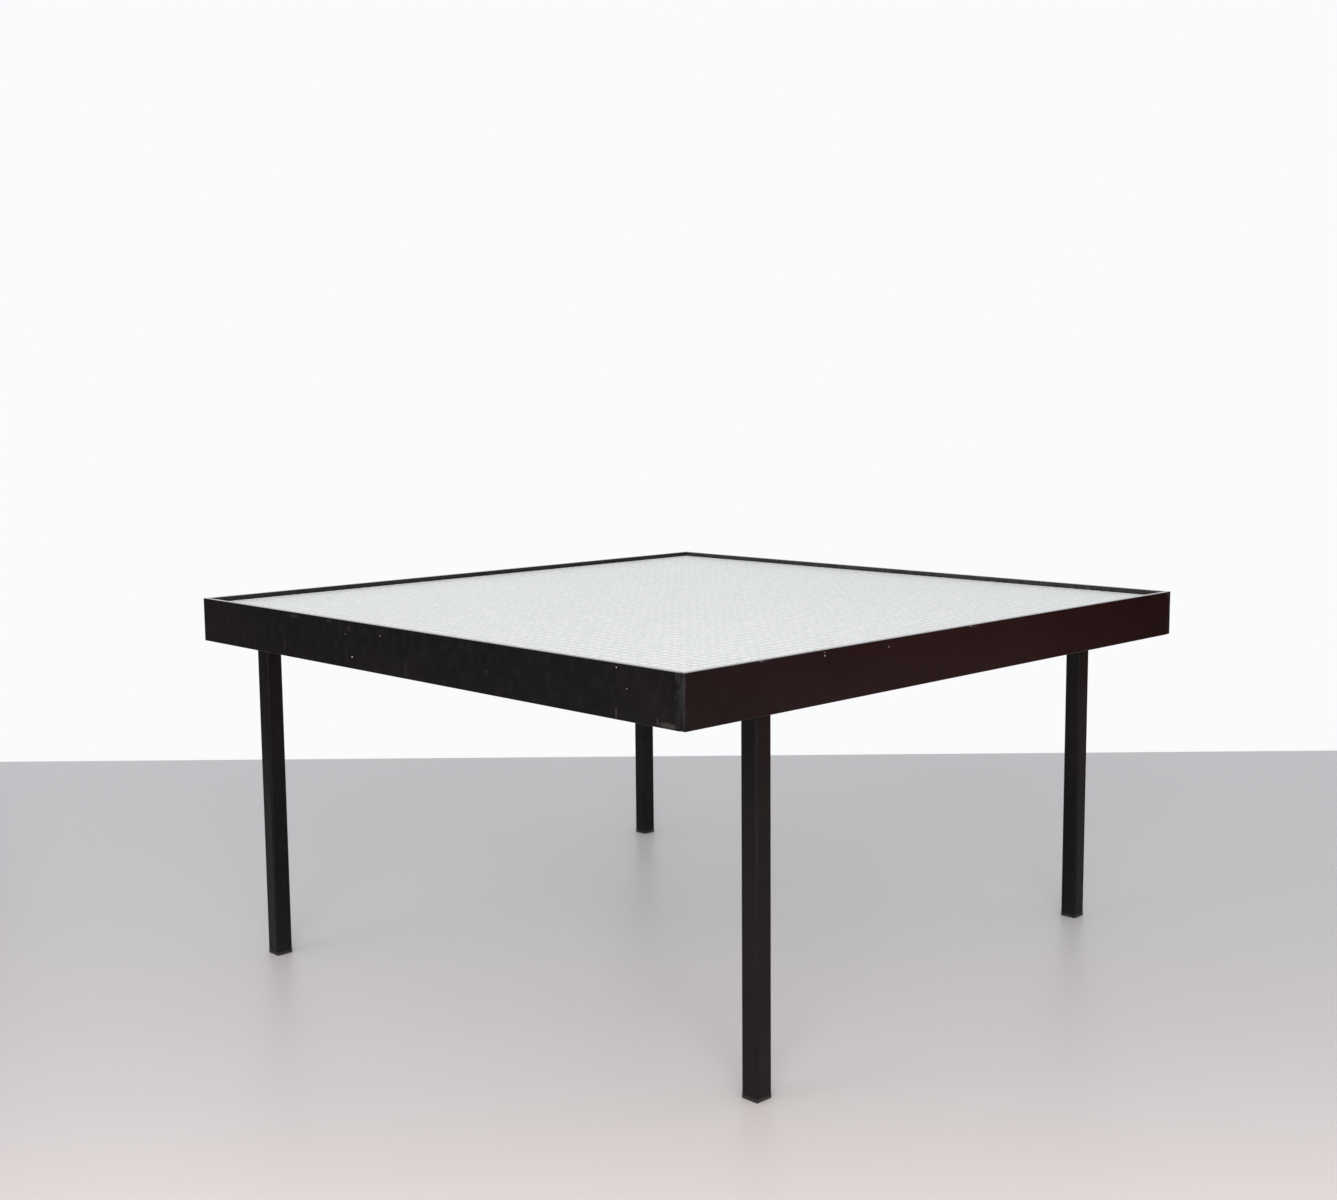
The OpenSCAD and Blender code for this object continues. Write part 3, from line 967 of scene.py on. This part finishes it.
def stage_sheet(name, width, depth, place, turn, material):
    """Flat sheet of the studio, its middle at place."""
    shape = bmesh.new()
    bmesh.ops.create_grid(shape, x_segments=1, y_segments=1, size=0.5)
    bmesh.ops.scale(shape, vec=(width, depth, 1), verts=shape.verts)
    bmesh.ops.transform(shape, matrix=Matrix.Translation(place) @ turn, verts=shape.verts)
    mesh = bpy.data.meshes.new(name)
    shape.to_mesh(mesh)
    shape.free()
    mesh.materials.append(material)
    sheet = bpy.data.objects.new(name, mesh)
    bpy.context.scene.collection.objects.link(sheet)
    return sheet


def floor_finish():
    """Smooth pale grey floor, slightly clouded."""
    finish = Finish("pale_floor", {"Specular IOR Level": 0.3})
    cloud = finish.noise(FLOOR_SCALE, 4)
    colour = finish.blend(cloud, FLOOR_DARKER, FLOOR_LIGHTER)
    finish.paint_on({"Base Color": colour, "Roughness": 0.36 + 0.08 * cloud})
    return finish.material


def card_finish(name, colour):
    """Even colour that no lamp changes."""
    finish = Finish(name, {"Base Color": (0, 0, 0, 1), "Roughness": 1.0, "Specular IOR Level": 0.0})
    finish.paint_on({"Emission Color": colour, "Emission Strength": 1.0})
    return finish.material


def only_in_gloss(sheet):
    """Lets a sheet show in glossy surfaces alone."""
    sheet.visible_camera = False
    sheet.visible_diffuse = False
    sheet.visible_transmission = False
    sheet.visible_shadow = False


def area_light(name, place, target, width, depth, power, colour, glossy=False):
    """Soft lamp that the camera doesn't see, and that shows either in gloss alone or in all but gloss."""
    data = bpy.data.lights.new(name, "AREA")
    data.shape = "RECTANGLE"
    data.size = width
    data.size_y = depth
    data.energy = power
    data.color = colour
    lamp = bpy.data.objects.new(name, data)
    bpy.context.scene.collection.objects.link(lamp)
    lamp.visible_camera = False
    lamp.visible_glossy = glossy
    lamp.visible_diffuse = not glossy
    lamp.visible_transmission = not glossy
    lamp.location = studio_place(*place)
    aim = studio_place(*target) - studio_place(*place)
    lamp.rotation_mode = "QUATERNION"
    lamp.rotation_quaternion = aim.to_track_quat("-Z", "Y")
    return lamp


def make_studio():
    """Floor, backdrop, cards, ceiling and lamps."""
    scene = bpy.context.scene
    scene.view_settings.view_transform = "Standard"
    scene.world = bpy.data.worlds.new("pale_backdrop")
    scene.world.use_nodes = True
    scene.world.node_tree.nodes["Background"].inputs["Color"].default_value = BACKDROP_COLOUR
    level = Matrix.Rotation(CAMERA_YAW, 4, "Z")
    middle = studio_place(0, 0.5 * (FLOOR_BEHIND - FLOOR_IN_FRONT), 0)
    stage_sheet("floor", FLOOR_WIDTH, FLOOR_BEHIND + FLOOR_IN_FRONT, middle, level, floor_finish())
    upright = Matrix.Rotation(QUARTER + CAMERA_YAW, 4, "Z") @ Matrix.Rotation(QUARTER, 4, "X")
    for name, (colour, reach) in CARDS.items():
        place = studio_place(reach, CARD_AHEAD, 0.5 * (CARD_FOOT + CARD_TOP))
        height = CARD_TOP - CARD_FOOT
        only_in_gloss(stage_sheet(name, CARD_LENGTH, height, place, upright, card_finish(name, colour)))
    overhead = studio_place(0, 0, CEILING_HEIGHT)
    dim_white = card_finish("ceiling", CEILING_COLOUR)
    ceiling = stage_sheet("ceiling", CEILING_SIZE, CEILING_SIZE, overhead, level, dim_white)
    ceiling.visible_camera = False
    for name, lamp in LAMPS.items():
        area_light(name, *lamp)
    glow = area_light("glow", *GLOW, glossy=True)
    glow.data.spread = GLOW_SPREAD


make_camera()
make_studio()

# The frame
plain_paint = black_paint("frame_paint")
tape_finish = glazing_tape()
foot_finish = foot_plastic()
for side in SIDES:
    marks = rail_marks(side)
    rail_paint = black_paint("rail_paint_" + side, rail_edges(side), marks, smeared=RAIL_SMEARS[side])
    leg_edges = box_edges(*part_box("leg_" + side))
    leg_paint = black_paint("leg_paint_" + side, leg_edges, dust_top=LEG_DUST_TOP, gloss=LEG_GLOSS)
    plate_edges = box_edges(*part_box("leg_plate_" + side))
    dress("rail_" + side, rail_paint)
    dress("leg_" + side, leg_paint)
    dress("leg_plate_" + side, black_paint("plate_paint_" + side, plate_edges))
    dress("rest_" + side, plain_paint)
    dress("tape_" + side, tape_finish)
    dress("foot_glide_" + side, foot_finish)
corner_welds(plain_paint)
rest_welds(plain_paint)
leg_welds(plain_paint)
steel = zinc_steel()
leg_screws(steel)
leg_washers(steel)
leg_nuts(steel)

# The glass
wire_mesh(tinned_wire())
glass_pane(cast_glass("cast_glass_top", **TOP_GLASS), cast_glass("cast_glass_underside", **LOW_GLASS))
